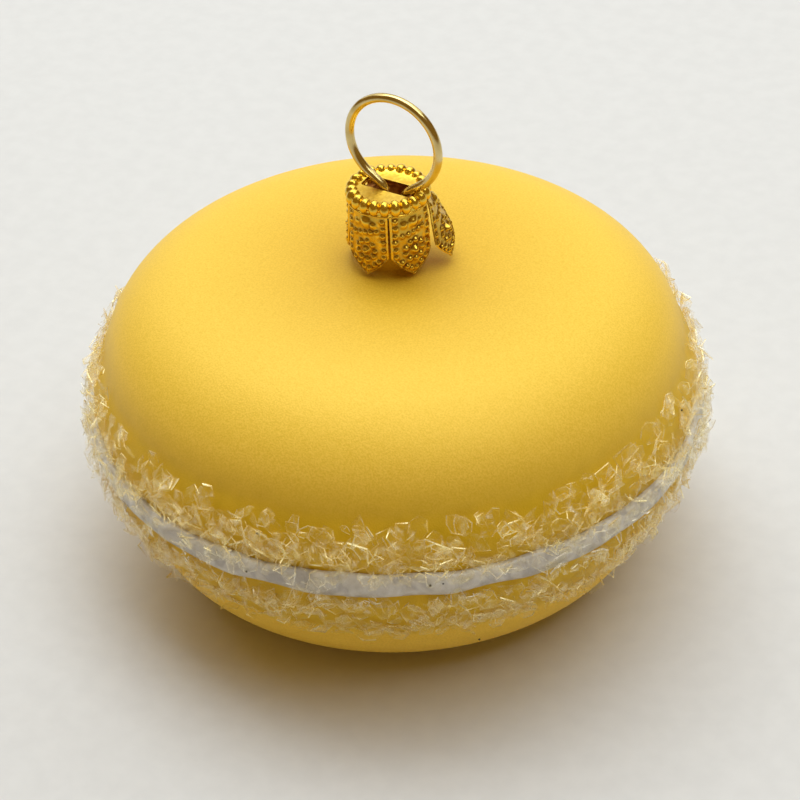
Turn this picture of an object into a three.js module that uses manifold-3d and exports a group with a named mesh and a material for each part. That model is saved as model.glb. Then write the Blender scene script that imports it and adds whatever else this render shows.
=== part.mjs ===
// A glass Christmas bauble in the shape of a macaron, 80 mm across, in millimetres with +Z up.
// One blown form, lacquered satin yellow, stands on a small flat spot at the origin. Crushed glass
// is glued round both of its feet, a white enamel band runs between them, and a stamped gold cap
// with a wire loop closes the neck. The loop lies in the XZ plane.
import * as THREE from "three";
import { mergeVertices } from "three/addons/utils/BufferGeometryUtils.js";
import Module from "manifold-3d";

// Blown form: two superellipse domes on one axis, joined by a wider waist
const DOME_RADIUS = 37.2;
const DOME_HEIGHT = 22.5;
const DOME_POWER = 3.5;
const BOTTOM_RADIUS = 34.6;
const BOTTOM_HEIGHT = 19.5;
const BOTTOM_POWER = 3.9;
const FLAT_RADIUS = 13;
const WAIST_Z = BOTTOM_HEIGHT;
const APEX_Z = WAIST_Z + DOME_HEIGHT;
const BODY_SEGMENTS = 60;

// Feet: heights over the waist where each foot leaves its dome, and how far it stands out
const UPPER_FOOT_TOP = 10.6;
const UPPER_FOOT_RADIUS = 38.2;
const LOWER_FOOT_BOTTOM = -8.4;
const LOWER_FOOT_RADIUS = 38;
// Each foot's full radius is held this far out from the groove before it curves in
const FOOT_LIP = 1.1;

// Enamel band in the groove between the feet
const BAND_Z = WAIST_Z + 2;
const BAND_HEIGHT = 3.4;
const BAND_RADIUS = 39.2;
const BAND_THICKNESS = 1;
const BAND_CROWN = 0.45;
const PIECE_GAP = 0.3;
const GROOVE_RADIUS = BAND_RADIUS - BAND_THICKNESS - PIECE_GAP;
const GROOVE_HEIGHT = BAND_HEIGHT + 2 * PIECE_GAP;

// Neck, heights over the top of the dome
const NECK_RADIUS = 3.95;
const NECK_BORE_RADIUS = 3.1;
const NECK_HEIGHT = 8.5;
const NECK_FILLET = 0.4;
const BORE_DEPTH = 8;

// Crushed glass
const FLAKE_THICKNESS = 0.34;
const FLAKE_SMALLEST = 2.2;
const FLAKE_LARGEST = 3.8;
const FLAKE_TILT = 0.95;
const FLAKE_SINK = 0.35;
const FLAKES_PAST_FOOT = 0.3;
const UPPER_FLAKES = 120;
const LOWER_FLAKES = 100;
const FLAKE_SEED = 20;

// Cap, heights over the top of the dome: a sunk plate in a beaded rim, over five petals
const CAP_RADIUS = 4.8;
const CAP_THICKNESS = 0.36;
const CAP_PLATE_Z = 9.5;
const CAP_PLATE_RADIUS = 3.65;
const RIM_Z = 9.6;
const RIM_BAND_RADIUS = 5;
const RIM_BAND_INNER = 4.32;
const RIM_BAND_DEPTH = 1.2;
const RIM_EASE = 0.3;
const RIM_BEADS = 22;
const RIM_BEAD_RADIUS = 0.6;
const RIM_CIRCLE_RADIUS = 4.5;
const SLOT_WIDTH = 2.7;
const SLOT_LENGTH = 6.8;
const SLOT_Y = 0.45;
const PETAL_TOP_Z = 9.2;
const PETAL_HALF_ANGLE = THREE.MathUtils.degToRad(34);
const PETAL_LENGTH = 8.7;
const PETAL_SHOULDER = 0.7;
const PETAL_CURVE = 0.85;
// Each petal's place round the cap and its lean to one side, in degrees, and how far its tip is
// bent out from the neck; the third one stands well off
const PETALS = [
  { angle: -97, lean: 6, flare: 0.7 },
  { angle: -24.5, lean: -5, flare: 1.1 },
  { angle: 44, lean: -29, flare: 3.1 },
  { angle: 117, lean: 0, flare: 0.5 },
  { angle: 190, lean: 0, flare: 0.4 },
];

// Wire loop, heights over the top of the dome
const WIRE_RADIUS = 0.55;
const LOOP_RADIUS = 6.04;
const LOOP_X = 1.02;
const LOOP_Z = 16.2;
const LOOP_OPENING = THREE.MathUtils.degToRad(60);
const PINCH_X = 1.1;
const PINCH_Z = 9.2;
const PINCH_HALF_GAP = 0.8;
const LEG_X = 2.1;
const LEG_END_Z = 2;
const LEG_BEND_Z = 5;
const WIRE_SIDES = 8;
const WIRE_STEPS = 56;

const wasm = await Module();
wasm.setup();

// Solids and meshes

function solidOf(geometry) {
  const bare = geometry.clone();
  bare.deleteAttribute("normal");
  bare.deleteAttribute("uv");
  const merged = mergeVertices(bare, 1e-4);
  return new wasm.Manifold(
    new wasm.Mesh({
      numProp: 3,
      vertProperties: merged.attributes.position.array,
      triVerts: new Uint32Array(merged.index.array),
    }),
  );
}

// The largest piece alone: a scrap or a sealed hollow comes out as a piece of its own.
function largestPiece(solid) {
  return solid.decompose().reduce((best, piece) => (piece.volume() > best.volume() ? piece : best));
}

function geometryOf(solid) {
  const { numProp, vertProperties, triVerts } = solid.getMesh();
  const positions = new Float32Array((vertProperties.length / numProp) * 3);
  for (let i = 0; i < positions.length / 3; i++) {
    positions.set(vertProperties.subarray(i * numProp, i * numProp + 3), i * 3);
  }
  const geometry = new THREE.BufferGeometry();
  geometry.setAttribute("position", new THREE.BufferAttribute(positions, 3));
  geometry.setIndex(new THREE.BufferAttribute(triVerts, 1));
  geometry.computeVertexNormals();
  return geometry;
}

function lathe(points, segments) {
  return new THREE.LatheGeometry(points, segments).rotateX(Math.PI / 2);
}

function seededRandom(seed) {
  let state = seed;
  return () => {
    state = (state + 0x6d2b79f5) | 0;
    let mixed = Math.imul(state ^ (state >>> 15), 1 | state);
    mixed = (mixed + Math.imul(mixed ^ (mixed >>> 7), 61 | mixed)) ^ mixed;
    return ((mixed ^ (mixed >>> 14)) >>> 0) / 4294967296;
  };
}

// Blown glass form

function superellipse(radius, height, power, turn) {
  return new THREE.Vector2(
    radius * Math.cos(turn) ** (2 / power),
    height * Math.sin(turn) ** (2 / power),
  );
}

// The turn at which a dome reaches a given height over its own base, or a given radius.
const turnAtHeight = (share, power) => Math.asin(share ** (power / 2));
const turnAtRadius = (share, power) => Math.acos(share ** (power / 2));

// Points of the dome from one turn to another, evenly spaced in turn.
function domePoints(radius, height, power, from, to, count) {
  return Array.from({ length: count }, (_, i) =>
    superellipse(radius, height, power, from + ((to - from) * i) / (count - 1)),
  );
}

// A foot from the dome's edge out to its full radius, as a quarter wave.
function footPoints(edge, radius, height, count) {
  return Array.from({ length: count }, (_, i) => {
    const share = (i + 1) / count;
    const swell = Math.sin((share * Math.PI) / 2);
    return new THREE.Vector2(
      edge.x + (radius - edge.x) * swell,
      edge.y + (height - edge.y) * share,
    );
  });
}

function bodyProfile() {
  const at = (radius, z) => new THREE.Vector2(radius, z);
  const bottom = domePoints(
    BOTTOM_RADIUS,
    BOTTOM_HEIGHT,
    BOTTOM_POWER,
    turnAtRadius(FLAT_RADIUS / BOTTOM_RADIUS, BOTTOM_POWER),
    turnAtHeight(-LOWER_FOOT_BOTTOM / BOTTOM_HEIGHT, BOTTOM_POWER),
    7,
  ).map((p) => at(p.x, WAIST_Z - p.y));
  const grooveTop = BAND_Z + GROOVE_HEIGHT / 2;
  const grooveBottom = BAND_Z - GROOVE_HEIGHT / 2;
  const lowerFoot = footPoints(bottom.at(-1), LOWER_FOOT_RADIUS, grooveBottom - FOOT_LIP, 3);
  const top = domePoints(
    DOME_RADIUS,
    DOME_HEIGHT,
    DOME_POWER,
    turnAtHeight(UPPER_FOOT_TOP / DOME_HEIGHT, DOME_POWER),
    turnAtRadius((NECK_RADIUS + 4) / DOME_RADIUS, DOME_POWER),
    10,
  ).map((p) => at(p.x, WAIST_Z + p.y));
  const upperFoot = footPoints(top[0], UPPER_FOOT_RADIUS, grooveTop + FOOT_LIP, 3).reverse();
  return [
    at(0, 0),
    at(FLAT_RADIUS, 0),
    ...bottom.slice(1),
    ...lowerFoot,
    at(GROOVE_RADIUS, grooveBottom),
    at(GROOVE_RADIUS, grooveTop),
    ...upperFoot,
    ...top,
    at(NECK_RADIUS + NECK_FILLET, APEX_Z),
    at(NECK_RADIUS, APEX_Z + NECK_FILLET),
    at(NECK_RADIUS, APEX_Z + NECK_HEIGHT),
    at(NECK_BORE_RADIUS, APEX_Z + NECK_HEIGHT),
    at(NECK_BORE_RADIUS, APEX_Z + NECK_HEIGHT - BORE_DEPTH),
    at(0, APEX_Z + NECK_HEIGHT - BORE_DEPTH),
  ];
}

// Crushed glass, glued round both feet

// A thin plate with three or four uneven corners.
function flakePlate(size, random) {
  const corners = random() < 0.5 ? 3 : 4;
  const outline = Array.from({ length: corners }, (_, i) => {
    const angle = ((i + 0.5 * random()) / corners) * 2 * Math.PI;
    const reach = (size / 2) * (0.75 + 0.5 * random());
    return new THREE.Vector2(reach * Math.cos(angle), reach * Math.sin(angle));
  });
  const plate = new THREE.ExtrudeGeometry(new THREE.Shape(outline), {
    depth: FLAKE_THICKNESS,
    bevelEnabled: false,
  });
  return plate.translate(0, 0, -FLAKE_THICKNESS / 2);
}

// The glass radius at a height, read off the profile's outer line.
function radiusAt(profile, z) {
  const outer = profile.slice(1, -5);
  const next = outer.findIndex((p, i) => i > 0 && p.y >= z);
  const [low, high] = [outer[next - 1], outer[next]];
  return THREE.MathUtils.mapLinear(z, low.y, high.y, low.x, high.x);
}

// One foot's flakes: each round is shifted by the golden angle, so that they cover it evenly.
function footFlakes(profile, count, lowest, highest, random) {
  const goldenAngle = Math.PI * (3 - Math.sqrt(5));
  return Array.from({ length: count }, (_, i) => {
    const share = 1 - i / count;
    const size = THREE.MathUtils.lerp(FLAKE_SMALLEST, FLAKE_LARGEST, share * random());
    const angle = i * goldenAngle;
    const z = THREE.MathUtils.lerp(lowest, highest, random());
    const plate = flakePlate(size, random);
    plate.rotateX(FLAKE_TILT * (2 * random() - 1));
    plate.rotateY(FLAKE_TILT * (2 * random() - 1));
    // Its flat side turns from up to outward, along X, and its innermost corner sinks in.
    plate.rotateY(Math.PI / 2);
    plate.computeBoundingBox();
    const { min, max } = plate.boundingBox;
    const middle = THREE.MathUtils.clamp(z, lowest - min.z, highest - max.z);
    plate.translate(radiusAt(profile, middle) - FLAKE_SINK - min.x, 0, middle);
    return solidOf(plate.rotateZ(angle));
  });
}

function glassBody() {
  const profile = bodyProfile();
  const random = seededRandom(FLAKE_SEED);
  const bandTop = BAND_Z + BAND_HEIGHT / 2 + PIECE_GAP;
  const bandBottom = BAND_Z - BAND_HEIGHT / 2 - PIECE_GAP;
  const footTop = WAIST_Z + UPPER_FOOT_TOP + FLAKES_PAST_FOOT;
  const footBottom = WAIST_Z + LOWER_FOOT_BOTTOM - FLAKES_PAST_FOOT;
  const flakes = [
    ...footFlakes(profile, UPPER_FLAKES, bandTop, footTop, random),
    ...footFlakes(profile, LOWER_FLAKES, footBottom, bandBottom, random),
  ];
  const blown = solidOf(lathe(profile, BODY_SEGMENTS));
  return geometryOf(largestPiece(wasm.Manifold.union([blown, ...flakes])));
}

// White enamel band, a ring with a crowned outer face

function enamelBand() {
  const halfHeight = BAND_HEIGHT / 2;
  const inner = BAND_RADIUS - BAND_THICKNESS;
  const crown = [-1, 0, 1].map(
    (share) => new THREE.Vector2(BAND_RADIUS - BAND_CROWN * share ** 2, BAND_Z + halfHeight * share),
  );
  const corners = [
    new THREE.Vector2(inner, BAND_Z + halfHeight),
    new THREE.Vector2(inner, BAND_Z - halfHeight),
  ];
  return lathe([...crown, ...corners, crown[0]], BODY_SEGMENTS);
}

// Stamped gold cap

// A closed slab over a grid: place(u, v, side) gives a point for u from -1 to 1 and v from 0 to 1,
// on the outer side at 1 and on the inner side at 0.
function slab(columns, rows, place) {
  const positions = [];
  const triangles = [];
  const index = (column, row, side) => (side * (rows + 1) + row) * (columns + 1) + column;
  for (const side of [0, 1]) {
    for (let row = 0; row <= rows; row++) {
      for (let column = 0; column <= columns; column++) {
        positions.push(...place((2 * column) / columns - 1, row / rows, side).toArray());
      }
    }
  }
  const quad = (a, b, c, d) => triangles.push(a, b, c, a, c, d);
  for (let row = 0; row < rows; row++) {
    for (let column = 0; column < columns; column++) {
      const face = (side) => [
        index(column, row, side),
        index(column + 1, row, side),
        index(column + 1, row + 1, side),
        index(column, row + 1, side),
      ];
      quad(...face(0));
      quad(...face(1).reverse());
    }
    quad(index(0, row, 1), index(0, row, 0), index(0, row + 1, 0), index(0, row + 1, 1));
    quad(
      index(columns, row, 0),
      index(columns, row, 1),
      index(columns, row + 1, 1),
      index(columns, row + 1, 0),
    );
  }
  for (let column = 0; column < columns; column++) {
    quad(index(column, 0, 0), index(column, 0, 1), index(column + 1, 0, 1), index(column + 1, 0, 0));
    quad(
      index(column, rows, 1),
      index(column, rows, 0),
      index(column + 1, rows, 0),
      index(column + 1, rows, 1),
    );
  }
  const geometry = new THREE.BufferGeometry();
  geometry.setAttribute("position", new THREE.Float32BufferAttribute(positions, 3));
  return geometry.setIndex(triangles);
}

// One petal of the skirt: straight sides, a pointed end, and its tip bent out by flare.
function petal({ angle, lean, flare }) {
  const drop = Math.sqrt(PETAL_LENGTH ** 2 - flare ** 2);
  return slab(4, 7, (u, v, side) => {
    const past = Math.max(0, (v - PETAL_SHOULDER) / (1 - PETAL_SHOULDER));
    const width = PETAL_HALF_ANGLE * Math.max(0.08, (1 - past ** 1.25) ** 0.9);
    const bend = flare * v ** PETAL_CURVE;
    const radius = CAP_RADIUS - CAP_THICKNESS * (1 - side) + bend;
    const middle = THREE.MathUtils.degToRad(angle + lean * v);
    const turn = middle + (u * width * CAP_RADIUS) / (CAP_RADIUS + bend);
    const z = APEX_Z + PETAL_TOP_Z - drop * v;
    return new THREE.Vector3(radius * Math.cos(turn), radius * Math.sin(turn), z);
  });
}

function goldCap() {
  const plateZ = APEX_Z + CAP_PLATE_Z;
  const rimZ = APEX_Z + RIM_Z;
  const at = (radius, z) => new THREE.Vector2(radius, z);
  const crown = solidOf(
    lathe(
      [
        at(0, plateZ - CAP_THICKNESS),
        at(RIM_BAND_INNER, plateZ - CAP_THICKNESS),
        at(RIM_BAND_INNER, plateZ - RIM_BAND_DEPTH),
        at(RIM_BAND_RADIUS, plateZ - RIM_BAND_DEPTH),
        at(RIM_BAND_RADIUS, rimZ),
        at(RIM_BAND_RADIUS - RIM_EASE, rimZ + RIM_EASE),
        at(CAP_PLATE_RADIUS + RIM_EASE, rimZ + RIM_EASE),
        at(CAP_PLATE_RADIUS, rimZ),
        at(CAP_PLATE_RADIUS, plateZ),
        at(0, plateZ),
      ],
      36,
    ),
  );
  const cutter = new THREE.BoxGeometry(SLOT_LENGTH, SLOT_WIDTH, 4 * CAP_THICKNESS);
  const slot = solidOf(cutter.translate(0, SLOT_Y, plateZ));
  const beads = Array.from({ length: RIM_BEADS }, (_, i) => {
    const angle = (i / RIM_BEADS) * 2 * Math.PI;
    const bead = new THREE.SphereGeometry(RIM_BEAD_RADIUS, 6, 5);
    bead.rotateX(Math.PI / 2).translate(RIM_CIRCLE_RADIUS, 0, rimZ);
    return solidOf(bead.rotateZ(angle));
  });
  const petals = PETALS.map((bends) => solidOf(petal(bends)));
  const stamped = wasm.Manifold.union([crown, ...beads, ...petals]).subtract(slot);
  return geometryOf(largestPiece(stamped));
}

// Wire hanger

// The centre line, all in the XZ plane: up from one leg in the neck, through the pinch in the
// slot, round the loop and down again. The legs spring apart below the pinch.
function hangerLine() {
  const at = (x, z) => new THREE.Vector3(x, 0, APEX_Z + z);
  const leg = (side) => [
    at(side * LEG_X, LEG_END_Z),
    at(side * LEG_X, LEG_BEND_Z),
    at(PINCH_X + side * PINCH_HALF_GAP, PINCH_Z),
  ];
  const arcPoints = 14;
  const loop = Array.from({ length: arcPoints + 1 }, (_, i) => {
    const turn = LOOP_OPENING / 2 + ((2 * Math.PI - LOOP_OPENING) * i) / arcPoints;
    return at(LOOP_X - LOOP_RADIUS * Math.sin(turn), LOOP_Z - LOOP_RADIUS * Math.cos(turn));
  });
  const points = [...leg(-1), ...loop, ...leg(1).reverse()];
  return new THREE.CatmullRomCurve3(points, false, "centripetal");
}

function hangerWire() {
  const section = new THREE.Shape().absarc(0, 0, WIRE_RADIUS, 0, 2 * Math.PI);
  return new THREE.ExtrudeGeometry(section, {
    curveSegments: WIRE_SIDES / 2,
    steps: WIRE_STEPS,
    extrudePath: hangerLine(),
    bevelEnabled: false,
  });
}

// Assembly

function finish(colour, roughness, metalness) {
  return new THREE.MeshStandardMaterial({ color: colour, roughness, metalness });
}

function piece(name, geometry, material) {
  const mesh = new THREE.Mesh(geometry, material);
  mesh.name = name;
  return mesh;
}

const ornament = new THREE.Group();
ornament.add(
  piece("glass_body", glassBody(), finish(0xf2c744, 0.38, 0.35)),
  piece("enamel_band", enamelBand(), finish(0xe6e3e6, 0.35, 0)),
  piece("gold_cap", goldCap(), finish(0xd9a520, 0.25, 1)),
  piece("hanger_wire", hangerWire(), finish(0xd0a850, 0.2, 1)),
);

export default ornament;
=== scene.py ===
# A glass Christmas bauble in the shape of a macaron, standing on a sheet of white paper.
import math

import bpy
import numpy as np
from mathutils import Matrix, Vector


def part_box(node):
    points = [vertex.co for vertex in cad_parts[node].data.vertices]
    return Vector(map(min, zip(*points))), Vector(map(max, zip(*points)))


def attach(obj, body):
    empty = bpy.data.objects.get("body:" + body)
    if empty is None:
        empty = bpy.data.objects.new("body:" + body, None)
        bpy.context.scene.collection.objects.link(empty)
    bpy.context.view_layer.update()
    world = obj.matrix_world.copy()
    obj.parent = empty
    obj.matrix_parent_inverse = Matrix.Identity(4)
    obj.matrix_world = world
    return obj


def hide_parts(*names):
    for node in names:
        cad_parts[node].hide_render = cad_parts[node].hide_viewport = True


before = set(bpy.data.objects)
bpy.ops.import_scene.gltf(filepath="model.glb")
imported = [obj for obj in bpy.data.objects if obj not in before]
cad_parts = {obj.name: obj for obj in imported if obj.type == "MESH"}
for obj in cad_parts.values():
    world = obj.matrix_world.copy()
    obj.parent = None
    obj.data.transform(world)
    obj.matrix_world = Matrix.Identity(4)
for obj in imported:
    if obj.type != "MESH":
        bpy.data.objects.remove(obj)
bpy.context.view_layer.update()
MM = 0.001
UP = Vector((0, 0, 1))


# Blown glass
# One bubble of glass blown in a mould: two boxy domes that meet in a wider waist, a flat spot
# underneath, and an open neck on top. It is lacquered satin yellow all over the outside, with a
# fine pearl sparkle, and the neck is left bare and brown under the cap.
DOME_RADIUS, DOME_HEIGHT, DOME_POWER = 37.2 * MM, 22.5 * MM, 3.5
BOTTOM_RADIUS, BOTTOM_HEIGHT, BOTTOM_POWER = 34.6 * MM, 19.5 * MM, 3.9
FLAT_RADIUS = 13 * MM
WAIST_Z = BOTTOM_HEIGHT
APEX_Z = WAIST_Z + DOME_HEIGHT
UPPER_FOOT_TOP, UPPER_FOOT_RADIUS = WAIST_Z + 10.6 * MM, 38.2 * MM
LOWER_FOOT_BOTTOM, LOWER_FOOT_RADIUS = WAIST_Z - 8.4 * MM, 38 * MM
FOOT_LIP = 1.1 * MM
GROOVE_LOW, GROOVE_HIGH, GROOVE_RADIUS = WAIST_Z, WAIST_Z + 4 * MM, 37.9 * MM
NECK_RADIUS, NECK_BORE_RADIUS, NECK_FILLET = 3.95 * MM, 3.1 * MM, 0.4 * MM
NECK_TOP, NECK_FLOOR = APEX_Z + 8.5 * MM, APEX_Z + 0.5 * MM
NECK_BARE_Z = APEX_Z + 3 * MM
# How many rings shape each stretch of the glass, and how many sides each ring has
BOTTOM_STEPS, FOOT_STEPS, DOME_STEPS, GLASS_SIDES = 26, 10, 36, 160


def dome_rings(radius, height, power, low, high, steps):
    """Rings of a superellipse dome between two heights over its base, closer where it turns."""
    first, last = (math.asin((z / height) ** (power / 2)) for z in (low, high))
    turns = [first + (last - first) * i / steps for i in range(steps + 1)]
    return [
        (radius * math.cos(turn) ** (2 / power), height * math.sin(turn) ** (2 / power))
        for turn in turns
    ]


def foot_rings(edge, radius, z, steps):
    """Rings of a foot from a dome's edge out to its full radius, as a quarter wave."""
    shares = [(i + 1) / steps for i in range(steps)]
    return [
        (
            edge[0] + (radius - edge[0]) * math.sin(share * math.pi / 2),
            edge[1] + (z - edge[1]) * share,
        )
        for share in shares
    ]


def height_at(radius, dome_radius, height, power):
    """A superellipse dome's height over its base at a distance from its axis."""
    return height * (1 - (radius / dome_radius) ** power) ** (1 / power)


def turned(name, rings, sides):
    """A round solid raised from a filled circle: each ring is extruded, lifted and scaled."""
    bpy.ops.object.select_all(action="DESELECT")
    (radius, z), *others = rings
    bpy.ops.mesh.primitive_circle_add(
        vertices=sides, radius=radius, fill_type="NGON", location=(0, 0, z)
    )
    piece = bpy.context.object
    piece.name = name
    bpy.ops.object.mode_set(mode="EDIT")
    bpy.ops.mesh.select_all(action="SELECT")
    for next_radius, next_z in others:
        bpy.ops.mesh.extrude_region_move(TRANSFORM_OT_translate={"value": (0, 0, next_z - z)})
        grow = next_radius / radius
        bpy.ops.transform.resize(value=(grow, grow, 1), center_override=(0, 0, next_z))
        radius, z = next_radius, next_z
    bpy.ops.mesh.select_all(action="SELECT")
    bpy.ops.mesh.normals_make_consistent(inside=False)
    bpy.ops.object.mode_set(mode="OBJECT")
    bpy.ops.object.transform_apply()
    return piece


def apply_modifier(piece, kind, **settings):
    """Adds one modifier with its settings and applies it."""
    modifier = piece.modifiers.new(kind.title(), kind)
    for key, value in settings.items():
        setattr(modifier, key, value)
    bpy.context.view_layer.objects.active = piece
    bpy.ops.object.modifier_apply(modifier=modifier.name)


def smooth(piece, angle=180):
    """Shades a piece smooth across every edge flatter than the angle in degrees."""
    bpy.ops.object.select_all(action="DESELECT")
    piece.select_set(True)
    bpy.context.view_layer.objects.active = piece
    bpy.ops.object.shade_smooth_by_angle(angle=math.radians(angle))


def new_finish(name, colour, roughness, metallic=0.0):
    """A material, with its node tree and its Principled shader."""
    material = bpy.data.materials.new(name)
    material.use_nodes = True
    tree = material.node_tree
    shader = tree.nodes["Principled BSDF"]
    shader.inputs["Base Color"].default_value = (*colour, 1)
    shader.inputs["Roughness"].default_value = roughness
    shader.inputs["Metallic"].default_value = metallic
    return material, tree, shader


def grain(tree, size, detail=2.0, swirl=0.0):
    """Soft noise on Object coordinates, with spots about size metres apart, swirled into folds."""
    place = tree.nodes.new("ShaderNodeTexCoord")
    noise = tree.nodes.new("ShaderNodeTexNoise")
    noise.inputs["Scale"].default_value = 1 / size
    noise.inputs["Detail"].default_value = detail
    noise.inputs["Distortion"].default_value = swirl
    tree.links.new(place.outputs["Object"], noise.inputs["Vector"])
    return noise.outputs["Fac"]


def blend_colours(tree, factor, low, high, start=0.35, stop=0.65):
    """A ramp from one colour to another along a factor."""
    ramp = tree.nodes.new("ShaderNodeValToRGB")
    first, last = ramp.color_ramp.elements
    first.position, first.color = start, (*low, 1)
    last.position, last.color = stop, (*high, 1)
    tree.links.new(factor, ramp.inputs["Fac"])
    return ramp.outputs["Color"]


def mix_colours(tree, factor, first, second):
    """One linked colour, changing into another along a factor."""
    mix = tree.nodes.new("ShaderNodeMix")
    mix.data_type = "RGBA"
    tree.links.new(factor, mix.inputs[0])
    tree.links.new(first, mix.inputs[6])
    tree.links.new(second, mix.inputs[7])
    return mix.outputs[2]


def span(tree, factor, low, high, start=0.0, stop=1.0):
    """Stretches a factor between start and stop to two values."""
    node = tree.nodes.new("ShaderNodeMapRange")
    node.inputs["From Min"].default_value = start
    node.inputs["From Max"].default_value = stop
    node.inputs["To Min"].default_value = low
    node.inputs["To Max"].default_value = high
    tree.links.new(factor, node.inputs["Value"])
    return node.outputs["Result"]


def height_share(tree, start, stop):
    """How far a point lies between two heights, from 0 to 1."""
    place = tree.nodes.new("ShaderNodeTexCoord")
    parts = tree.nodes.new("ShaderNodeSeparateXYZ")
    tree.links.new(place.outputs["Object"], parts.inputs["Vector"])
    return span(tree, parts.outputs["Z"], 0, 1, start, stop)


def axis_share(tree, start, stop):
    """How far a point lies between two distances from the upright axis, from 0 to 1."""
    place = tree.nodes.new("ShaderNodeTexCoord")
    flatten = tree.nodes.new("ShaderNodeVectorMath")
    flatten.operation = "MULTIPLY"
    flatten.inputs[1].default_value = (1, 1, 0)
    length = tree.nodes.new("ShaderNodeVectorMath")
    length.operation = "LENGTH"
    tree.links.new(place.outputs["Object"], flatten.inputs[0])
    tree.links.new(flatten.outputs["Vector"], length.inputs[0])
    return span(tree, length.outputs["Value"], 0, 1, start, stop)


def relief(tree, shader, heights, distance, strength=1.0):
    """Bumps from (factor, share) pairs, added up, into the shader's normal."""
    total = None
    for factor, share in heights:
        scaled = tree.nodes.new("ShaderNodeMath")
        scaled.operation = "MULTIPLY_ADD"
        scaled.inputs[1].default_value = share
        scaled.inputs[2].default_value = 0
        tree.links.new(factor, scaled.inputs[0])
        if total is not None:
            tree.links.new(total, scaled.inputs[2])
        total = scaled.outputs[0]
    bump = tree.nodes.new("ShaderNodeBump")
    bump.inputs["Distance"].default_value = distance
    bump.inputs["Strength"].default_value = strength
    tree.links.new(total, bump.inputs["Height"])
    tree.links.new(bump.outputs["Normal"], shader.inputs["Normal"])


bottom_rings = [
    (radius, WAIST_Z - z)
    for radius, z in dome_rings(
        BOTTOM_RADIUS,
        BOTTOM_HEIGHT,
        BOTTOM_POWER,
        WAIST_Z - LOWER_FOOT_BOTTOM,
        height_at(FLAT_RADIUS, BOTTOM_RADIUS, BOTTOM_HEIGHT, BOTTOM_POWER),
        BOTTOM_STEPS,
    )
][::-1]
top_rings = [
    (radius, WAIST_Z + z)
    for radius, z in dome_rings(
        DOME_RADIUS,
        DOME_HEIGHT,
        DOME_POWER,
        UPPER_FOOT_TOP - WAIST_Z,
        height_at(2 * NECK_RADIUS, DOME_RADIUS, DOME_HEIGHT, DOME_POWER),
        DOME_STEPS,
    )
]
lower_foot = foot_rings(bottom_rings[-1], LOWER_FOOT_RADIUS, GROOVE_LOW - FOOT_LIP, FOOT_STEPS)
upper_foot = foot_rings(top_rings[0], UPPER_FOOT_RADIUS, GROOVE_HIGH + FOOT_LIP, FOOT_STEPS)[::-1]
outer_rings = [
    (FLAT_RADIUS, 0),
    *bottom_rings[1:],
    *lower_foot,
    (GROOVE_RADIUS, GROOVE_LOW),
    (GROOVE_RADIUS, GROOVE_HIGH),
    *upper_foot,
    *top_rings,
]
neck_rings = [
    (NECK_RADIUS + 2 * NECK_FILLET, APEX_Z),
    (NECK_RADIUS + NECK_FILLET, APEX_Z + 0.25 * NECK_FILLET),
    (NECK_RADIUS, APEX_Z + 1.25 * NECK_FILLET),
    (NECK_RADIUS, NECK_BARE_Z),
    (NECK_RADIUS, NECK_TOP),
    (NECK_BORE_RADIUS, NECK_TOP),
    (NECK_BORE_RADIUS, NECK_FLOOR),
]
blown_glass = turned("blown_glass", outer_rings + neck_rings, GLASS_SIDES)
smooth(blown_glass, 40)

# Each tone of the lacquer and its deeper tone: out on the domes; round the neck, darker as painted
# shade from the cap; under the glue, darker for the glue and as painted shadow of the crushed glass
LACQUER, LACQUER_DEEP = (0.99, 0.66, 0.088), (0.88, 0.57, 0.052)
NECK_SHADED_LACQUER, NECK_SHADED_LACQUER_DEEP = (0.74, 0.45, 0.03), (0.66, 0.38, 0.016)
GLUED_AND_SHADED, GLUED_AND_SHADED_DEEP = (0.75, 0.48, 0.018), (0.68, 0.43, 0.012)
NECK_SHADE_START, NECK_SHADE_STOP = 5 * MM, 27 * MM
SPARKLE_SIZE, GLUE_BLOT_SIZE, GLASS_WAVE_SIZE = 0.22 * MM, 2.2 * MM, 4 * MM
lacquer, tree, shader = new_finish("yellow_lacquer", LACQUER, 0.42)
shader.inputs["Metallic"].default_value = 0.06
shader.inputs["Specular IOR Level"].default_value = 0.3
shader.inputs["Specular Tint"].default_value = (1, 0.9, 0.6, 1)
shader.inputs["Sheen Weight"].default_value = 0.14
shader.inputs["Sheen Tint"].default_value = (1, 0.8, 0.3, 1)
sparkle = grain(tree, SPARKLE_SIZE, 2)
# Painted shade: the lacquer darkens towards the neck, where the cap shades the dome
painted_neck_shade = blend_colours(tree, sparkle, NECK_SHADED_LACQUER_DEEP, NECK_SHADED_LACQUER)
past_neck_shade = axis_share(tree, NECK_SHADE_START, NECK_SHADE_STOP)
dry = blend_colours(tree, sparkle, LACQUER_DEEP, LACQUER)
dry = mix_colours(tree, past_neck_shade, painted_neck_shade, dry)
# Under the crushed glass the lacquer is darker, for the glue and as painted shadow of the glass,
# which casts none
glue_blots = grain(tree, GLUE_BLOT_SIZE)
glued_and_shaded = blend_colours(tree, glue_blots, GLUED_AND_SHADED_DEEP, GLUED_AND_SHADED)
above_glue_shade = height_share(tree, UPPER_FOOT_TOP - 1.5 * MM, UPPER_FOOT_TOP + 4 * MM)
below_glue_shade = height_share(tree, LOWER_FOOT_BOTTOM + 1 * MM, LOWER_FOOT_BOTTOM - 1 * MM)
painted = mix_colours(tree, below_glue_shade, mix_colours(tree, above_glue_shade, glued_and_shaded, dry), dry)
tree.links.new(painted, shader.inputs["Base Color"])
tree.links.new(span(tree, sparkle, 0.4, 0.54), shader.inputs["Roughness"])
relief(tree, shader, [(sparkle, 1), (grain(tree, GLASS_WAVE_SIZE), 1.5)], 0.05 * MM, 0.6)
blown_glass.data.materials.append(lacquer)

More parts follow.
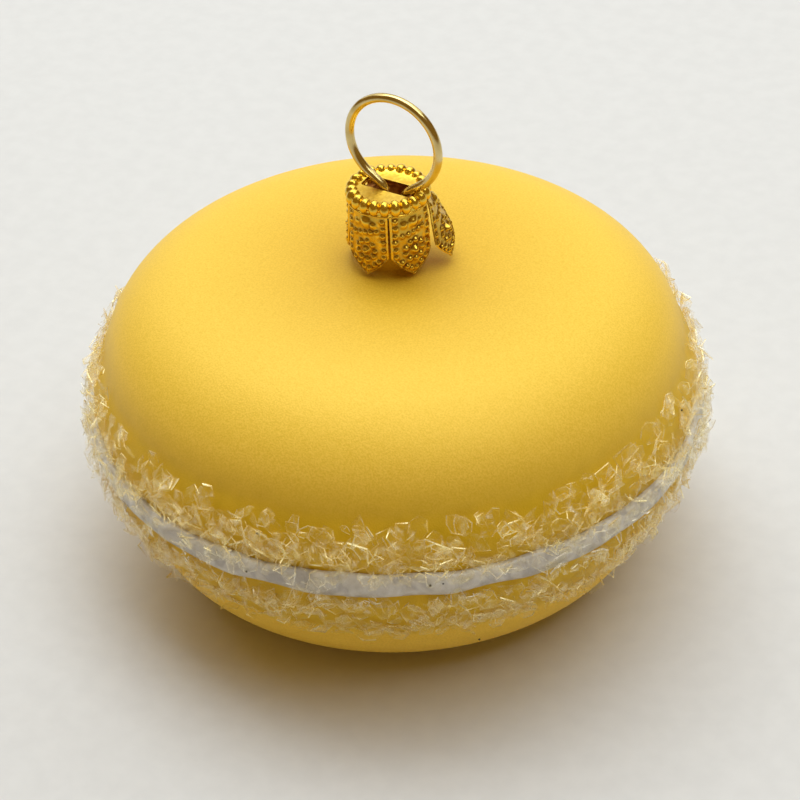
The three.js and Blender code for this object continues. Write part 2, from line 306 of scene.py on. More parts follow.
NECK_BROWN, NECK_AMBER = (0.42, 0.13, 0.03), (0.95, 0.47, 0.13)
bare_neck, tree, shader = new_finish("bare_neck_glass", NECK_BROWN, 0.25)
streaks = grain(tree, 0.9 * MM)
tree.links.new(
    blend_colours(tree, streaks, NECK_BROWN, NECK_AMBER), shader.inputs["Base Color"]
)
blown_glass.data.materials.append(bare_neck)
for face in blown_glass.data.polygons:
    middle = face.center
    if middle.z > NECK_BARE_Z and math.hypot(middle.x, middle.y) < NECK_RADIUS + NECK_FILLET:
        face.material_index = 1
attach(blown_glass, "root")


# White band
# A thick stroke of white enamel laid by brush round the groove between the feet. Its edges
# wander, and the brush has left low waves and a few folds in the skin, greyer in their creases
# as painted shade.
band_low, band_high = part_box("enamel_band")
BAND_Z = (band_low.z + band_high.z) / 2
BAND_RADIUS = band_high.x - 0.1 * MM
BAND_HALF_HEIGHT = (band_high.z - band_low.z) / 2
BAND_DEPTH = 0.95 * MM
UPPER_EDGE_WANDER, LOWER_EDGE_WANDER, WRINKLE_HEIGHT = 0.55 * MM, 0.85 * MM, 0.16 * MM
# The band is widest at this angle round the part and loses this share of its width at the sides
BAND_FRONT, BAND_NARROWING = math.radians(-62), 0.34

bpy.ops.object.select_all(action="DESELECT")
bpy.ops.mesh.primitive_torus_add(
    location=(0, 0, BAND_Z),
    major_segments=360,
    minor_segments=20,
    major_radius=BAND_RADIUS - BAND_DEPTH,
    minor_radius=BAND_DEPTH,
)
enamel_band = bpy.context.object
enamel_band.name = "white_enamel_band"
bpy.ops.object.mode_set(mode="EDIT")
bpy.ops.mesh.select_all(action="SELECT")
bpy.ops.transform.resize(
    value=(1, 1, BAND_HALF_HEIGHT / BAND_DEPTH), center_override=(0, 0, BAND_Z)
)
bpy.ops.object.mode_set(mode="OBJECT")
bpy.ops.object.transform_apply()


def wander(angle, seed, waves, strength):
    """A slow uneven wave round the part: a few sines with seeded sizes and starts."""
    random = np.random.default_rng(seed)
    total = np.zeros_like(angle)
    for wave in waves:
        total += random.uniform(0.5, 1) * np.sin(wave * angle + random.uniform(0, 2 * math.pi))
    return strength * total / len(waves)


places = np.array([vertex.co for vertex in enamel_band.data.vertices])
angle = np.arctan2(places[:, 1], places[:, 0])
above = (places[:, 2] - BAND_Z) / BAND_HALF_HEIGHT
outward = np.hypot(places[:, 0], places[:, 1])
upper_edge = wander(angle, 3, (3, 7, 12, 19, 31), UPPER_EDGE_WANDER)
lower_edge = wander(angle, 4, (2, 5, 9, 17, 27), LOWER_EDGE_WANDER)
places[:, 2] += np.where(above > 0, above * upper_edge, -above * lower_edge)
from_front = np.sin(angle - BAND_FRONT) ** 2
places[:, 2] = BAND_Z + (places[:, 2] - BAND_Z) * (1 - BAND_NARROWING * from_front)
wrinkles = wander(angle, 5, (11, 23, 37), WRINKLE_HEIGHT) * np.sin(2.2 * above + 9 * angle)
places[:, :2] *= (1 + wrinkles / outward)[:, None]
enamel_band.data.vertices.foreach_set("co", places.ravel())
enamel_band.data.update()
smooth(enamel_band)

ENAMEL, ENAMEL_SHADE = (0.72, 0.7, 0.66), (0.57, 0.54, 0.49)
# The creases of the folds are darker: painted shade
CREASE_SHADE, CREASE_SHADE_DEEP = (0.57, 0.55, 0.53), (0.45, 0.425, 0.4)
enamel, tree, shader = new_finish("white_enamel", ENAMEL, 0.32)
shader.inputs["Coat Weight"].default_value = 0.3
shader.inputs["Coat Roughness"].default_value = 0.15
brush = grain(tree, 2.4 * MM, 4)
folds = grain(tree, 3.5 * MM, 0, 1.6)
brushed = blend_colours(tree, brush, ENAMEL_SHADE, ENAMEL)
# Painted shade in the creases of the folds
painted_crease_shade = blend_colours(tree, brush, CREASE_SHADE_DEEP, CREASE_SHADE)
in_crease = span(tree, folds, 1, 0, 0.37, 0.47)
tree.links.new(mix_colours(tree, in_crease, brushed, painted_crease_shade), shader.inputs["Base Color"])
relief(tree, shader, [(brush, 1), (folds, 2), (grain(tree, 0.7 * MM), 0.2)], 0.4 * MM, 0.8)
enamel_band.data.materials.append(enamel)
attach(enamel_band, "root")
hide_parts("enamel_band")


# Crushed glass
# Clear glass broken into thin slivers, one to four millimetres across, and glued round both feet
# in two or three layers, with some caught in the wet enamel. Each lies at its own tilt, and it is
# too thin and clear to cast a shadow. Its broken edge is painted pale as a painted highlight,
# yellower over the lacquer and whiter over the enamel, and a few facets are painted whitish as
# painted glints.
SHARD_RADIUS = 1 * MM
SHARD_THICKNESS = 0.1 * MM
SHARD_MODELS = 16
BORDER_WIDTH, BORDER_SLOPE, DOME_STEP = 0.065 * SHARD_RADIUS, 0.05 * SHARD_RADIUS, 0.1 * SHARD_RADIUS
CLEAR, EDGE, GLINT_FACET = range(3)
BAND_OVERLAP, RAGGED_EDGE = 1.3 * MM, 0.7 * MM
SLOPE_REACH, GLUE_DEPTH, GLUE_BUILD_UP = 0.2 * MM, 0.12 * MM, 0.5
# Painted highlight: the broken edges are pale, yellower over the lacquer and whiter over the enamel,
# for light carried through the glass from what lies beneath
EDGE_HIGHLIGHT, EDGE_HIGHLIGHT_DEEP = (1, 0.9, 0.52), (1, 0.74, 0.26)
EDGE_HIGHLIGHT_ON_ENAMEL = (0.95, 0.92, 0.84)
# Painted glints: a few facets of each sliver are whitish
GLINT_WHITE, GLINT_YELLOW = (1, 0.94, 0.72), (1, 0.82, 0.34)


def glassy(tree, shader, haze, most):
    """Lets a thin piece of glass through: as hazy as a factor, and up to most where seen edge on."""
    edge_on = tree.nodes.new("ShaderNodeLayerWeight")
    edge_on.inputs["Blend"].default_value = 0.35
    seen = tree.nodes.new("ShaderNodeMath")
    seen.operation = "MAXIMUM"
    tree.links.new(haze, seen.inputs[0])
    tree.links.new(span(tree, edge_on.outputs["Facing"], 0, most, 0.25, 1), seen.inputs[1])
    tree.links.new(seen.outputs[0], shader.inputs["Alpha"])


clear_glass, tree, shader = new_finish("crushed_clear_glass", (1, 0.89, 0.46), 0.08)
glassy(tree, shader, span(tree, grain(tree, 1.3 * MM, 2), 0.01, 0.25, 0.5, 0.8), 0.32)
shader.inputs["Coat Weight"].default_value = 1
relief(tree, shader, [(grain(tree, 0.8 * MM), 1)], 0.1 * MM, 0.4)

broken_edge, tree, shader = new_finish("broken_glass_edge", EDGE_HIGHLIGHT, 0.25, 0.4)
edge_grain = grain(tree, 2 * MM)
# Painted highlight on the edges, tinted by what lies beneath them
edge_highlight_on_lacquer = blend_colours(tree, edge_grain, EDGE_HIGHLIGHT_DEEP, EDGE_HIGHLIGHT)
edge_highlight_on_enamel = blend_colours(tree, edge_grain, EDGE_HIGHLIGHT, EDGE_HIGHLIGHT_ON_ENAMEL)
under_band = height_share(tree, GROOVE_LOW + 0.6 * MM, GROOVE_LOW - 0.2 * MM)
over_band = height_share(tree, GROOVE_HIGH - 0.6 * MM, GROOVE_HIGH + 0.2 * MM)
edge_highlight_on_enamel = mix_colours(tree, under_band, edge_highlight_on_enamel, edge_highlight_on_lacquer)
tree.links.new(mix_colours(tree, over_band, edge_highlight_on_enamel, edge_highlight_on_lacquer), shader.inputs["Base Color"])
tree.links.new(span(tree, edge_grain, 0.1, 0.74, 0.42, 0.68), shader.inputs["Alpha"])

# Painted glints on a few facets
painted_glint_facet, tree, shader = new_finish("painted_glint_glass_facet", GLINT_WHITE, 0.15)
glints = grain(tree, 0.9 * MM)
tree.links.new(
    blend_colours(tree, glints, GLINT_YELLOW, GLINT_WHITE), shader.inputs["Base Color"]
)
glassy(tree, shader, span(tree, glints, 0.02, 0.27, 0.48, 0.72), 0.58)
shader.inputs["Coat Weight"].default_value = 1

SHARD_FINISHES = (clear_glass, broken_edge, painted_glint_facet)


def shard_model(number):
    """One sliver: an uneven polygon with a sloped border, domed at its middle and thickened."""
    bpy.ops.object.select_all(action="DESELECT")
    bpy.ops.mesh.primitive_circle_add(
        vertices=4 + number % 4, radius=SHARD_RADIUS, fill_type="NGON"
    )
    shard = bpy.context.object
    bpy.ops.object.mode_set(mode="EDIT")
    bpy.ops.mesh.select_mode(type="FACE")
    bpy.ops.mesh.select_all(action="SELECT")
    bpy.ops.transform.vertex_random(offset=0.3 * SHARD_RADIUS, seed=number)
    bpy.ops.transform.resize(value=(1, 0.55 + 0.1 * (number % 5), 1), center_override=(0, 0, 0))
    bpy.ops.mesh.inset(thickness=BORDER_WIDTH, depth=BORDER_SLOPE)
    bpy.ops.object.mode_set(mode="OBJECT")
    for face in shard.data.polygons:
        middle = face.select
        face.material_index = CLEAR if middle or (face.index + number) % 3 == 0 else EDGE
    bpy.ops.object.mode_set(mode="EDIT")
    bpy.ops.mesh.poke(offset=DOME_STEP * (number % 3))
    bpy.ops.mesh.select_mode(type="VERT")
    bpy.ops.object.mode_set(mode="OBJECT")
    for face in shard.data.polygons:
        if face.material_index == CLEAR and (face.index * 3 + number) % 8 < 2:
            face.material_index = GLINT_FACET
    for finish in SHARD_FINISHES:
        shard.data.materials.append(finish)
    apply_modifier(shard, "SOLIDIFY", thickness=SHARD_THICKNESS, offset=0)
    apply_modifier(shard, "TRIANGULATE")
    return shard


def mesh_arrays(model):
    """A model's points, triangles and material numbers, with the model then removed."""
    mesh = model.data
    points = np.array([vertex.co for vertex in mesh.vertices])
    corners = np.array([face.vertices for face in mesh.polygons])
    materials = np.array([face.material_index for face in mesh.polygons])
    bpy.data.objects.remove(model)
    return points, corners, materials


shard_models = [mesh_arrays(shard_model(number)) for number in range(SHARD_MODELS)]


def glass_radius(z):
    """The blown glass's radius at a height."""
    heights = [ring[1] for ring in outer_rings]
    radii = [ring[0] for ring in outer_rings]
    return np.interp(z, heights, radii)


def enamel_radius(z):
    """The enamel's radius, the same at every height of the band."""
    return BAND_RADIUS + 0 * z


def covered_radius(z):
    """The radius of what lies outermost at a height: the enamel in the groove, else the glass."""
    in_groove = (z > GROOVE_LOW) & (z < GROOVE_HIGH)
    return np.where(in_groove, BAND_RADIUS - 0.2 * MM, glass_radius(z))


def overlap(around):
    """How far the broken glass of each foot has spread over the band: most at its narrow sides."""
    return BAND_OVERLAP * math.sin(around - BAND_FRONT) ** 2


def turn_to(normal, twist, tilt, lean):
    """A rotation that lays a flat shard on a normal, then tilts it towards a direction."""
    lay = normal.to_track_quat("Z", "Y").to_matrix()
    spin = Matrix.Rotation(twist, 3, "Z")
    tip = Matrix.Rotation(tilt, 3, Vector((math.cos(lean), math.sin(lean), 0)))
    return np.array(lay @ tip @ spin)


def glue_shards(name, low, high, count, seed, sizes, radius_at, tilt_most, proud, crowd):
    """Shards in a belt between two heights, thrown on at random and fused into one piece.

    The sizes are the least, the usual and the most. A crowd under 1 gathers the shards at the
    belt's two edges, and one over 1 at its middle.
    """
    random = np.random.default_rng(seed)
    points, corners, materials, used = [], [], [], 0
    for number in range(count):
        shape, faces, slots = shard_models[random.integers(SHARD_MODELS)]
        around = 2 * math.pi * (number + random.uniform(-1.5, 1.5)) / count - math.pi
        share = random.beta(crowd, crowd)
        size = random.triangular(*sizes)
        ragged = wander(np.array([around]), seed, (5, 9, 14, 23, 41), RAGGED_EDGE)[0]
        z = low(around) + (high(around) + ragged - low(around)) * share
        slope = (radius_at(z + SLOPE_REACH) - radius_at(z - SLOPE_REACH)) / (2 * SLOPE_REACH)
        normal = Vector((math.cos(around), math.sin(around), -slope)).normalized()
        tilt = tilt_most * random.beta(1.3, 1.6)
        twist = random.uniform(0, 2 * math.pi)
        pose = turn_to(normal, twist, tilt, random.uniform(0, 2 * math.pi))
        reach = size * SHARD_RADIUS * math.sin(tilt)
        off = GLUE_DEPTH + proud * (reach + random.uniform(0, GLUE_BUILD_UP) * MM)
        radius = radius_at(z)
        stuck_at = np.array((radius * math.cos(around), radius * math.sin(around), z))
        points.append((shape * size) @ pose.T + (stuck_at + off * np.array(normal)))
        corners.append(faces + used)
        materials.append(slots)
        used += len(shape)
    mesh = bpy.data.meshes.new(name)
    mesh.from_pydata(np.concatenate(points).tolist(), [], np.concatenate(corners).tolist())
    for finish in SHARD_FINISHES:
        mesh.materials.append(finish)
    mesh.polygons.foreach_set("material_index", np.concatenate(materials))
    mesh.update()
    piece = bpy.data.objects.new(name, mesh)
    bpy.context.collection.objects.link(piece)
    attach(piece, "root")
    piece.visible_shadow = False


glue_shards(
    "crushed_glass_upper_foot",
    low=lambda around: GROOVE_HIGH - 0.4 * MM - overlap(around),
    high=lambda around: UPPER_FOOT_TOP - 0.7 * MM + 0.5 * overlap(around),
    count=960,
    seed=11,
    sizes=(0.7, 1.2, 2.2),
    radius_at=covered_radius,
    tilt_most=1.0,
    proud=0.38,
    crowd=1.1,
)
glue_shards(
    "crushed_glass_lower_foot",
    low=lambda around: LOWER_FOOT_BOTTOM + 0.3 * MM,
    high=lambda around: GROOVE_LOW + 0.1 * MM + overlap(around),
    count=900,
    seed=12,
    sizes=(0.7, 1.2, 2.2),
    radius_at=covered_radius,
    tilt_most=1.0,
    proud=0.38,
    crowd=1.1,
)
glue_shards(
    "crushed_glass_on_band",
    low=lambda around: GROOVE_LOW - 0.4 * MM,
    high=lambda around: GROOVE_HIGH + 0.4 * MM,
    count=400,
    seed=13,
    sizes=(0.5, 1, 1.8),
    radius_at=enamel_radius,
    tilt_most=0.9,
    proud=0.4,
    crowd=0.35,
)
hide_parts("glass_body")


# Dark specks
# A few grains of soot caught in the enamel, the glue and the lacquer, each about a quarter of a
# millimetre across. They are small balls, pressed in where the real ones sit.
SOOT, SOOT_DEEP = (0.03, 0.02, 0.014), (0.012, 0.008, 0.006)
# Each speck's angle round the part in degrees, height over the waist, distance out and radius
SPECKS = [
    (-54.6, 2.79 * MM, 39.3 * MM, 0.16 * MM),
    (-52.4, 2.86 * MM, 39.3 * MM, 0.11 * MM),
    (-86.7, 2.28 * MM, 39.3 * MM, 0.14 * MM),
    (-84.8, 7.63 * MM, 38.2 * MM, 0.16 * MM),
    (6.4, 8.83 * MM, 37.9 * MM, 0.13 * MM),
    (-43.4, -12.64 * MM, 32.9 * MM, 0.13 * MM),
]
bpy.ops.object.select_all(action="DESELECT")
speck_parts = []
for around, z, radius, size in SPECKS:
    turn = math.radians(around)
    bpy.ops.mesh.primitive_ico_sphere_add(
        subdivisions=2,
        radius=size,
        location=(radius * math.cos(turn), radius * math.sin(turn), WAIST_Z + z),
    )
    speck_parts.append(bpy.context.object)
for part in speck_parts:
    part.select_set(True)
bpy.ops.object.join()
dark_specks = bpy.context.object
dark_specks.name = "dark_specks"
bpy.ops.object.transform_apply()

soot, tree, shader = new_finish("dark_soot", SOOT, 0.6)
tree.links.new(
    blend_colours(tree, grain(tree, 0.1 * MM), SOOT_DEEP, SOOT), shader.inputs["Base Color"]
)
dark_specks.data.materials.append(soot)
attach(dark_specks, "root")


# Gold cap
# A thin gold-coloured cap stamped in one piece: a sunk plate with a slot for the wire, a rim of
# lobes, and a skirt cut into five petals with rows of beads and a rosette. It slips over the neck,
# and one petal has been bent out to the side.
CAP_RADIUS = 4.8 * MM
FOIL = 0.2 * MM
PLATE_Z, PLATE_RADIUS = APEX_Z + 9.75 * MM, 4 * MM
SLOT_LENGTH, SLOT_WIDTH, SLOT_BACK = 6.8 * MM, 2.4 * MM, 0.45 * MM
LOBES, LOBE_CIRCLE, LOBE_Z = 22, 4.42 * MM, APEX_Z + 9.5 * MM
LOBE_SIZE = (0.82 * MM, 0.7 * MM, 0.98 * MM)
PETAL_TOP, PETAL_LENGTH = APEX_Z + 9.2 * MM, 8.7 * MM
PETAL_HALF_WIDTH = CAP_RADIUS * math.radians(35.5)
PETAL_SHOULDER = 0.7
PETAL_EDGE_WIDTH, PETAL_EDGE_HEIGHT, DENT_DEPTH = 0.35 * MM, 0.12 * MM, 0.05 * MM
TIP_TUCK, TIP_BLUNTNESS = 0.2 * MM, 0.06
PETAL_COLUMNS, PETAL_ROWS, CAP_SIDES = 56, 72, 96
# How far a bead strays in millimetres, and the least and most that it grows and rises
BEAD_SHIFT, BEAD_GROWTH, BEAD_RISE = 0.07, (0.82, 1.08), (1.2, 1.8)
LOBE_LEAN, SLOT_CORNER = math.radians(-20), 0.3 * MM
# The two plain rings of the rim: how far out, how high and how thick
RIM_RINGS = [
    (LOBE_CIRCLE, LOBE_Z - 0.15 * MM, 0.42 * MM),
    (CAP_RADIUS + 0.12 * MM, LOBE_Z - 0.85 * MM, 0.16 * MM),
]
# Each petal's place round the cap, its lean to one side and its twist towards its tip, in degrees,
# and how far its tip is bent out
PETALS = [
    (-97, 6, 0, 0.7 * MM),
    (-24.5, -5, 0, 1.1 * MM),
    (44, -29, -14, 3.1 * MM),
    (117, 0, 0, 0.5 * MM),
    (190, 0, 0, 0.4 * MM),
]
ROSETTE, ROSETTE_RADIUS, ROSETTE_BEADS = (0.05 * MM, 5.35 * MM), 1.2 * MM, 9

# Each bead of a petal: how far to the side, how far down, its radius and its height.
# They run down both edges and along the point, then come the rosette, a garland over it, and a
# large bead between two small ones under the rim.
petal_beads = []
for side in (-1, 1):
    for row in range(6):
        petal_beads.append((side * 2.35 * MM, (1.3 + 0.95 * row) * MM, 0.28 * MM, 0.16 * MM))
    for step in range(1, 4):
        share = step / 3.6
        across, down = side * 2.3 * (1 - share) * MM, (6.3 + 1.75 * share) * MM
        petal_beads.append((across, down, 0.3 * MM, 0.2 * MM))
petal_beads.append((*ROSETTE, 0.42 * MM, 0.4 * MM))
for number in range(ROSETTE_BEADS):
    turn = 2 * math.pi * number / ROSETTE_BEADS
    across = ROSETTE[0] + ROSETTE_RADIUS * math.cos(turn)
    down = ROSETTE[1] + ROSETTE_RADIUS * math.sin(turn)
    petal_beads.append((across, down, 0.3 * MM, 0.2 * MM))
for step in range(5):
    across, down = (-1.5 + 0.75 * step) * MM, (3.3 - 0.16 * step) * MM
    petal_beads.append((across, down, 0.28 * MM, 0.18 * MM))
petal_beads.append((0.1 * MM, 1.65 * MM, 0.55 * MM, 0.26 * MM))
for side in (-1, 1):
    petal_beads.append((side * 1.15 * MM, 1.85 * MM, 0.34 * MM, 0.16 * MM))


def petal_piece(centre, lean, twist, flare):
    """One petal: a fine grid laid round the cap, its beads raised, then thickened.

    Its rows lie round the cap on a spine that leans and flares out, and each is turned on the
    spine by its share of the twist.
    """
    bpy.ops.object.select_all(action="DESELECT")
    bpy.ops.mesh.primitive_grid_add(
        x_subdivisions=PETAL_COLUMNS, y_subdivisions=PETAL_ROWS, size=2
    )
    petal = bpy.context.object
    places = np.array([vertex.co for vertex in petal.data.vertices])
    across, down = places[:, 0], (1 - places[:, 1]) / 2
    past = np.clip((down - PETAL_SHOULDER) / (1 - PETAL_SHOULDER), 0, 1)
    width = PETAL_HALF_WIDTH * np.maximum(TIP_BLUNTNESS, (1 - past**1.25) ** 0.9)
    side, drop = across * width, down * PETAL_LENGTH
    raised = np.zeros(len(places))
    random = np.random.default_rng(int(centre) + 200)
    for x, y, radius, height in petal_beads:
        shift = random.uniform(-BEAD_SHIFT, BEAD_SHIFT, 2) * MM
        grow = random.uniform(*BEAD_GROWTH)
        apart = ((side - x - shift[0]) ** 2 + (drop - y - shift[1]) ** 2) / (grow * radius) ** 2
        bead = random.uniform(*BEAD_RISE) * height * np.exp(-(apart**1.4))
        raised = np.maximum(raised, bead)
    dents = np.sin(1.7 * side / MM + centre) * np.sin(1.3 * drop / MM + 2 * centre)
    raised = raised + DENT_DEPTH * dents
    edge = np.clip(1 - (width - np.abs(side)) / PETAL_EDGE_WIDTH, 0, 1)
    raised = raised + PETAL_EDGE_HEIGHT * np.sin(edge * math.pi) ** 2
    spine_radius = CAP_RADIUS + flare * down**0.85
    radius = spine_radius + raised - TIP_TUCK * past**2
    spine = np.radians(centre + lean * down)
    turn = spine + side / spine_radius
    spine_x, spine_y = spine_radius * np.cos(spine), spine_radius * np.sin(spine)
    off_x, off_y = radius * np.cos(turn) - spine_x, radius * np.sin(turn) - spine_y
    twisted = np.radians(twist) * np.minimum(1, 1.6 * down)
    places[:, 0] = spine_x + off_x * np.cos(twisted) - off_y * np.sin(twisted)
    places[:, 1] = spine_y + off_x * np.sin(twisted) + off_y * np.cos(twisted)
    places[:, 2] = PETAL_TOP - down * math.sqrt(PETAL_LENGTH**2 - flare**2)
    petal.data.vertices.foreach_set("co", places.ravel())
    petal.data.update()
    apply_modifier(petal, "SOLIDIFY", thickness=FOIL, offset=-1)
    return petal


def cap_plate():
    """The sunk plate: a shallow disc with the slot cut through it."""
    plate = turned(
        "cap_plate",
        [
            (PLATE_RADIUS, PLATE_Z - FOIL),
            (PLATE_RADIUS, PLATE_Z + 0.2 * MM),
            (PLATE_RADIUS - 0.35 * MM, PLATE_Z + 0.08 * MM),
            (PLATE_RADIUS - 0.9 * MM, PLATE_Z),
        ],
        CAP_SIDES,
    )
    bpy.ops.object.select_all(action="DESELECT")
    bpy.ops.mesh.primitive_cube_add(size=1, location=(0, SLOT_BACK, PLATE_Z))
    cutter = bpy.context.object
    cutter.scale = (SLOT_LENGTH, SLOT_WIDTH, 3 * MM)
    bpy.ops.object.transform_apply()
    apply_modifier(cutter, "BEVEL", width=SLOT_CORNER, segments=3)
    apply_modifier(plate, "BOOLEAN", object=cutter, operation="DIFFERENCE", solver="EXACT")
    bpy.data.objects.remove(cutter)
    return plate


def rim_lobe(turn):
    """One lobe of the rim, a ball drawn out over the edge of the plate."""
    bpy.ops.object.select_all(action="DESELECT")
    bpy.ops.mesh.primitive_uv_sphere_add(segments=18, ring_count=12, radius=1)
    lobe = bpy.context.object
    lobe.scale = LOBE_SIZE
    bpy.ops.object.transform_apply()
    lobe.data.transform(Matrix.Rotation(LOBE_LEAN, 4, "Y"))
    uneven = 1 + 0.05 * math.sin(5 * turn) + 0.04 * math.sin(8 * turn + 1)
    lobe.data.transform(Matrix.Scale(uneven, 4))
    lobe.data.transform(Matrix.Translation((LOBE_CIRCLE, 0, LOBE_Z)))
    lobe.data.transform(Matrix.Rotation(turn, 4, "Z"))
    return lobe


def rim_ring(radius, z, thickness):
    """A round bead of metal all the way round the cap."""
    bpy.ops.object.select_all(action="DESELECT")
    bpy.ops.mesh.primitive_torus_add(
        location=(0, 0, z),
        major_segments=CAP_SIDES,
        minor_segments=10,
        major_radius=radius,
        minor_radius=thickness,
    )
    ring = bpy.context.object
    bpy.ops.object.transform_apply()
    return ring


cap_parts = [cap_plate()]
cap_parts += [petal_piece(*bends) for bends in PETALS]
cap_parts += [rim_lobe(2 * math.pi * number / LOBES) for number in range(LOBES)]
cap_parts += [rim_ring(*ring) for ring in RIM_RINGS]
bpy.ops.object.select_all(action="DESELECT")
for part in cap_parts:
    part.select_set(True)
bpy.context.view_layer.objects.active = cap_parts[0]
bpy.ops.object.join()
gold_cap = cap_parts[0]
gold_cap.name = "stamped_gold_cap"
smooth(gold_cap, 50)

# The gold is darker in its hollows, and paler on the plate, which the wire has rubbed
GOLD, HOLLOW_GOLD = (0.88, 0.6, 0.075), (0.26, 0.1, 0.01)
RUBBED_GOLD, RUBBED_GOLD_DEEP = (0.92, 0.63, 0.09), (0.8, 0.5, 0.05)
gold, tree, shader = new_finish("bright_gold", GOLD, 0.2, 1.0)
shape = tree.nodes.new("ShaderNodeNewGeometry")
darker_in_hollows = blend_colours(tree, shape.outputs["Pointiness"], HOLLOW_GOLD, GOLD, 0.462, 0.518)
tree.links.new(darker_in_hollows, shader.inputs["Base Color"])
crinkle = grain(tree, 0.8 * MM, 3)
tree.links.new(span(tree, crinkle, 0.12, 0.34), shader.inputs["Roughness"])
relief(tree, shader, [(crinkle, 1)], 0.16 * MM, 0.5)
gold_cap.data.materials.clear()
gold_cap.data.materials.append(gold)

plate_gold, tree, shader = new_finish("plate_gold", RUBBED_GOLD, 0.3, 1.0)
rubbed = grain(tree, 0.5 * MM)
tree.links.new(
    blend_colours(tree, rubbed, RUBBED_GOLD_DEEP, RUBBED_GOLD), shader.inputs["Base Color"]
)
tree.links.new(span(tree, rubbed, 0.24, 0.42), shader.inputs["Roughness"])
relief(tree, shader, [(rubbed, 1)], 0.05 * MM, 0.5)
gold_cap.data.materials.append(plate_gold)
for face in gold_cap.data.polygons:
    middle = face.center
    if face.normal.z > 0.9 and math.hypot(middle.x, middle.y) < PLATE_RADIUS - 0.5 * MM:
        face.material_index = 1
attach(gold_cap, "root")
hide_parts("gold_cap")


# Wire loop
# A ring of drawn brass-plated wire, bent by hand so that its two ends pinch together in the slot
# and spring apart inside the neck, which holds the cap on.
WIRE_RADIUS = 0.56 * MM
LOOP_RADIUS = 6.04 * MM
LOOP_CENTRE = Vector((1.02 * MM, 0, APEX_Z + 16.2 * MM))
LOOP_OPENING, LOOP_POINTS = math.radians(60), 72
PINCH = Vector((1.1 * MM, 0, APEX_Z + 9.2 * MM))
PINCH_HALF_GAP = 0.8 * MM
LEG_X, LEG_BEND_Z, LEG_END_Z = 2.1 * MM, APEX_Z + 5 * MM, APEX_Z + 2 * MM

bpy.ops.object.select_all(action="DESELECT")
bpy.ops.mesh.primitive_circle_add(
    vertices=LOOP_POINTS,
    radius=LOOP_RADIUS,
    location=LOOP_CENTRE,
    rotation=(math.pi / 2, 0, 0),
)
wire = bpy.context.object
wire.name = "brass_wire_loop"
bpy.ops.object.transform_apply()
bpy.ops.object.mode_set(mode="EDIT")
bpy.ops.mesh.select_all(action="DESELECT")
bpy.ops.object.mode_set(mode="OBJECT")
for vertex in wire.data.vertices:
    out = vertex.co - LOOP_CENTRE
    vertex.select = out.angle(-UP) < LOOP_OPENING / 2 - 1e-4
bpy.ops.object.mode_set(mode="EDIT")
bpy.ops.mesh.delete(type="VERT")
for side in (-1, 1):
    stops = [
        PINCH + Vector((side * PINCH_HALF_GAP, 0, 0)),
        Vector((side * LEG_X, 0, LEG_BEND_Z)),
        Vector((side * LEG_X, 0, LEG_END_Z)),
    ]
    bpy.ops.mesh.select_all(action="DESELECT")
    bpy.ops.object.mode_set(mode="OBJECT")
    ends = [v for v in wire.data.vertices if side * (v.co.x - LOOP_CENTRE.x) > 0]
    end = min(ends, key=lambda v: v.co.z)
    end.select = True
    at = end.co.copy()
    bpy.ops.object.mode_set(mode="EDIT")
    for stop in stops:
        bpy.ops.mesh.extrude_vertices_move(TRANSFORM_OT_translate={"value": stop - at})
        at = stop
bpy.ops.object.mode_set(mode="OBJECT")
bpy.ops.object.convert(target="CURVE")
wire = bpy.context.object
for spline in wire.data.splines:
    spline.type = "NURBS"
    spline.order_u = 3
    spline.use_endpoint_u = True
    spline.resolution_u = 4
wire.data.dimensions = "3D"
wire.data.bevel_depth = WIRE_RADIUS
wire.data.bevel_resolution = 6
wire.data.use_fill_caps = True
bpy.ops.object.convert(target="MESH")
wire = bpy.context.object
smooth(wire, 60)

BRASS, TARNISHED_BRASS = (0.79, 0.63, 0.29), (0.6, 0.45, 0.17)
brass, tree, shader = new_finish("brass_wire", BRASS, 0.2, 1.0)
tarnish = grain(tree, 2.5 * MM, 3)
tree.links.new(
    blend_colours(tree, tarnish, TARNISHED_BRASS, BRASS), shader.inputs["Base Color"]
)
tree.links.new(span(tree, tarnish, 0.1, 0.24), shader.inputs["Roughness"])
relief(tree, shader, [(grain(tree, 0.25 * MM), 1)], 0.01 * MM, 0.4)
wire.data.materials.append(brass)
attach(wire, "root")
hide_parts("hanger_wire")


# Paper, light and camera
# The bauble stands on a wide sheet of white paper. Two broad soft lamps hang over it and a little
# behind, a pale backdrop stands further back, and a warm room fills the shadows. The camera looks
# down on it from the front, rolled by two degrees.
AZIMUTH, ELEVATION, ROLL = math.radians(31), math.radians(36.7), math.radians(-2.32)
DISTANCE, TARGET = 314.3 * MM, Vector((0, 0, WAIST_Z))
LENS_LENGTH, SENSOR_WIDTH, LENS_SHIFT = 110.2, 36, (0.0043, 0.0029)

bpy.ops.object.select_all(action="DESELECT")
bpy.ops.mesh.primitive_plane_add(size=6)
paper_floor = bpy.context.object
paper_floor.name = "paper_floor"
PAPER, PAPER_SHADE = (0.7, 0.7, 0.715), (0.675, 0.675, 0.69)
paper, tree, shader = new_finish("white_paper", PAPER, 0.75)
fibres = grain(tree, 3 * MM, 4)
tree.links.new(blend_colours(tree, fibres, PAPER_SHADE, PAPER), shader.inputs["Base Color"])
paper_floor.data.materials.append(paper)

toward_camera = Vector((math.sin(AZIMUTH), -math.cos(AZIMUTH), 0))
camera_right = Vector((math.cos(AZIMUTH), math.sin(AZIMUTH), 0))


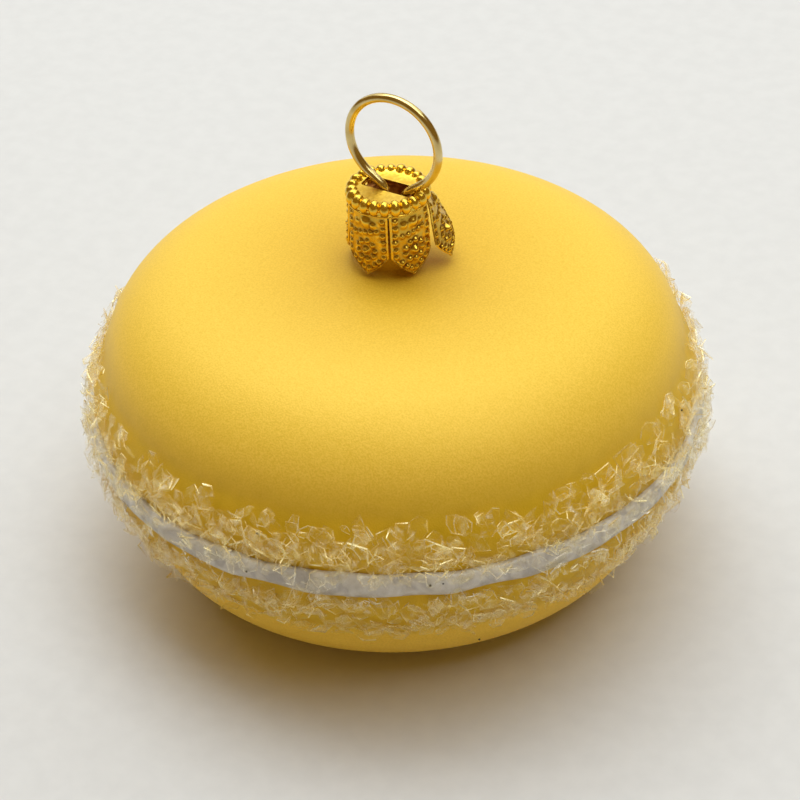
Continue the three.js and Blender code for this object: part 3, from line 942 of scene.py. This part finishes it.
def soft_light(name, place, width, depth, power):
    """A flat lamp, wide from left to right, aimed at the bauble."""
    lamp = bpy.data.lights.new(name, "AREA")
    lamp.shape = "RECTANGLE"
    lamp.size, lamp.size_y = width, depth
    lamp.energy = power
    lamp.color = LAMP_COLOUR
    lamp_object = bpy.data.objects.new(name, lamp)
    bpy.context.collection.objects.link(lamp_object)
    lamp_object.location = place
    lamp_object.rotation_euler = (place - TARGET).to_track_quat("Z", "Y").to_euler()


LAMP_COLOUR = (0.915, 1, 1.035)
behind = -0.3 * toward_camera + 0.7 * UP
overhead = 0.06 * camera_right - 0.05 * toward_camera + 0.7 * UP
far_behind = -0.9 * toward_camera + 0.5 * UP
soft_light("lamp_behind", behind, width=1.4, depth=0.4, power=2.9)
soft_light("lamp_overhead", overhead, width=1.15, depth=0.45, power=4.05)
soft_light("pale_backdrop", far_behind, width=1.8, depth=0.8, power=3.6)

ROOM_COLOUR, ROOM_STRENGTH = (1, 0.615, 0.16), 0.244
world = bpy.data.worlds.new("warm_room")
bpy.context.scene.world = world
world.use_nodes = True
room = world.node_tree.nodes["Background"]
room.inputs["Color"].default_value = (*ROOM_COLOUR, 1)
room.inputs["Strength"].default_value = ROOM_STRENGTH

camera = bpy.data.cameras.new("camera")
camera.lens = LENS_LENGTH
camera.sensor_width = SENSOR_WIDTH
camera.shift_x, camera.shift_y = LENS_SHIFT
camera.clip_start, camera.clip_end = 0.01, 20
camera_object = bpy.data.objects.new("camera", camera)
bpy.context.collection.objects.link(camera_object)
away = toward_camera * math.cos(ELEVATION) + UP * math.sin(ELEVATION)
camera_object.location = TARGET + DISTANCE * away
turn = away.to_track_quat("Z", "Y").to_matrix().to_4x4() @ Matrix.Rotation(ROLL, 4, "Z")
camera_object.rotation_euler = turn.to_euler()
bpy.context.scene.camera = camera_object
bpy.context.scene.view_settings.view_transform = "Standard"
# Light has to pass through many slivers of the crushed glass
light_paths = bpy.context.scene.cycles
light_paths.max_bounces = 24
light_paths.transparent_max_bounces = 32
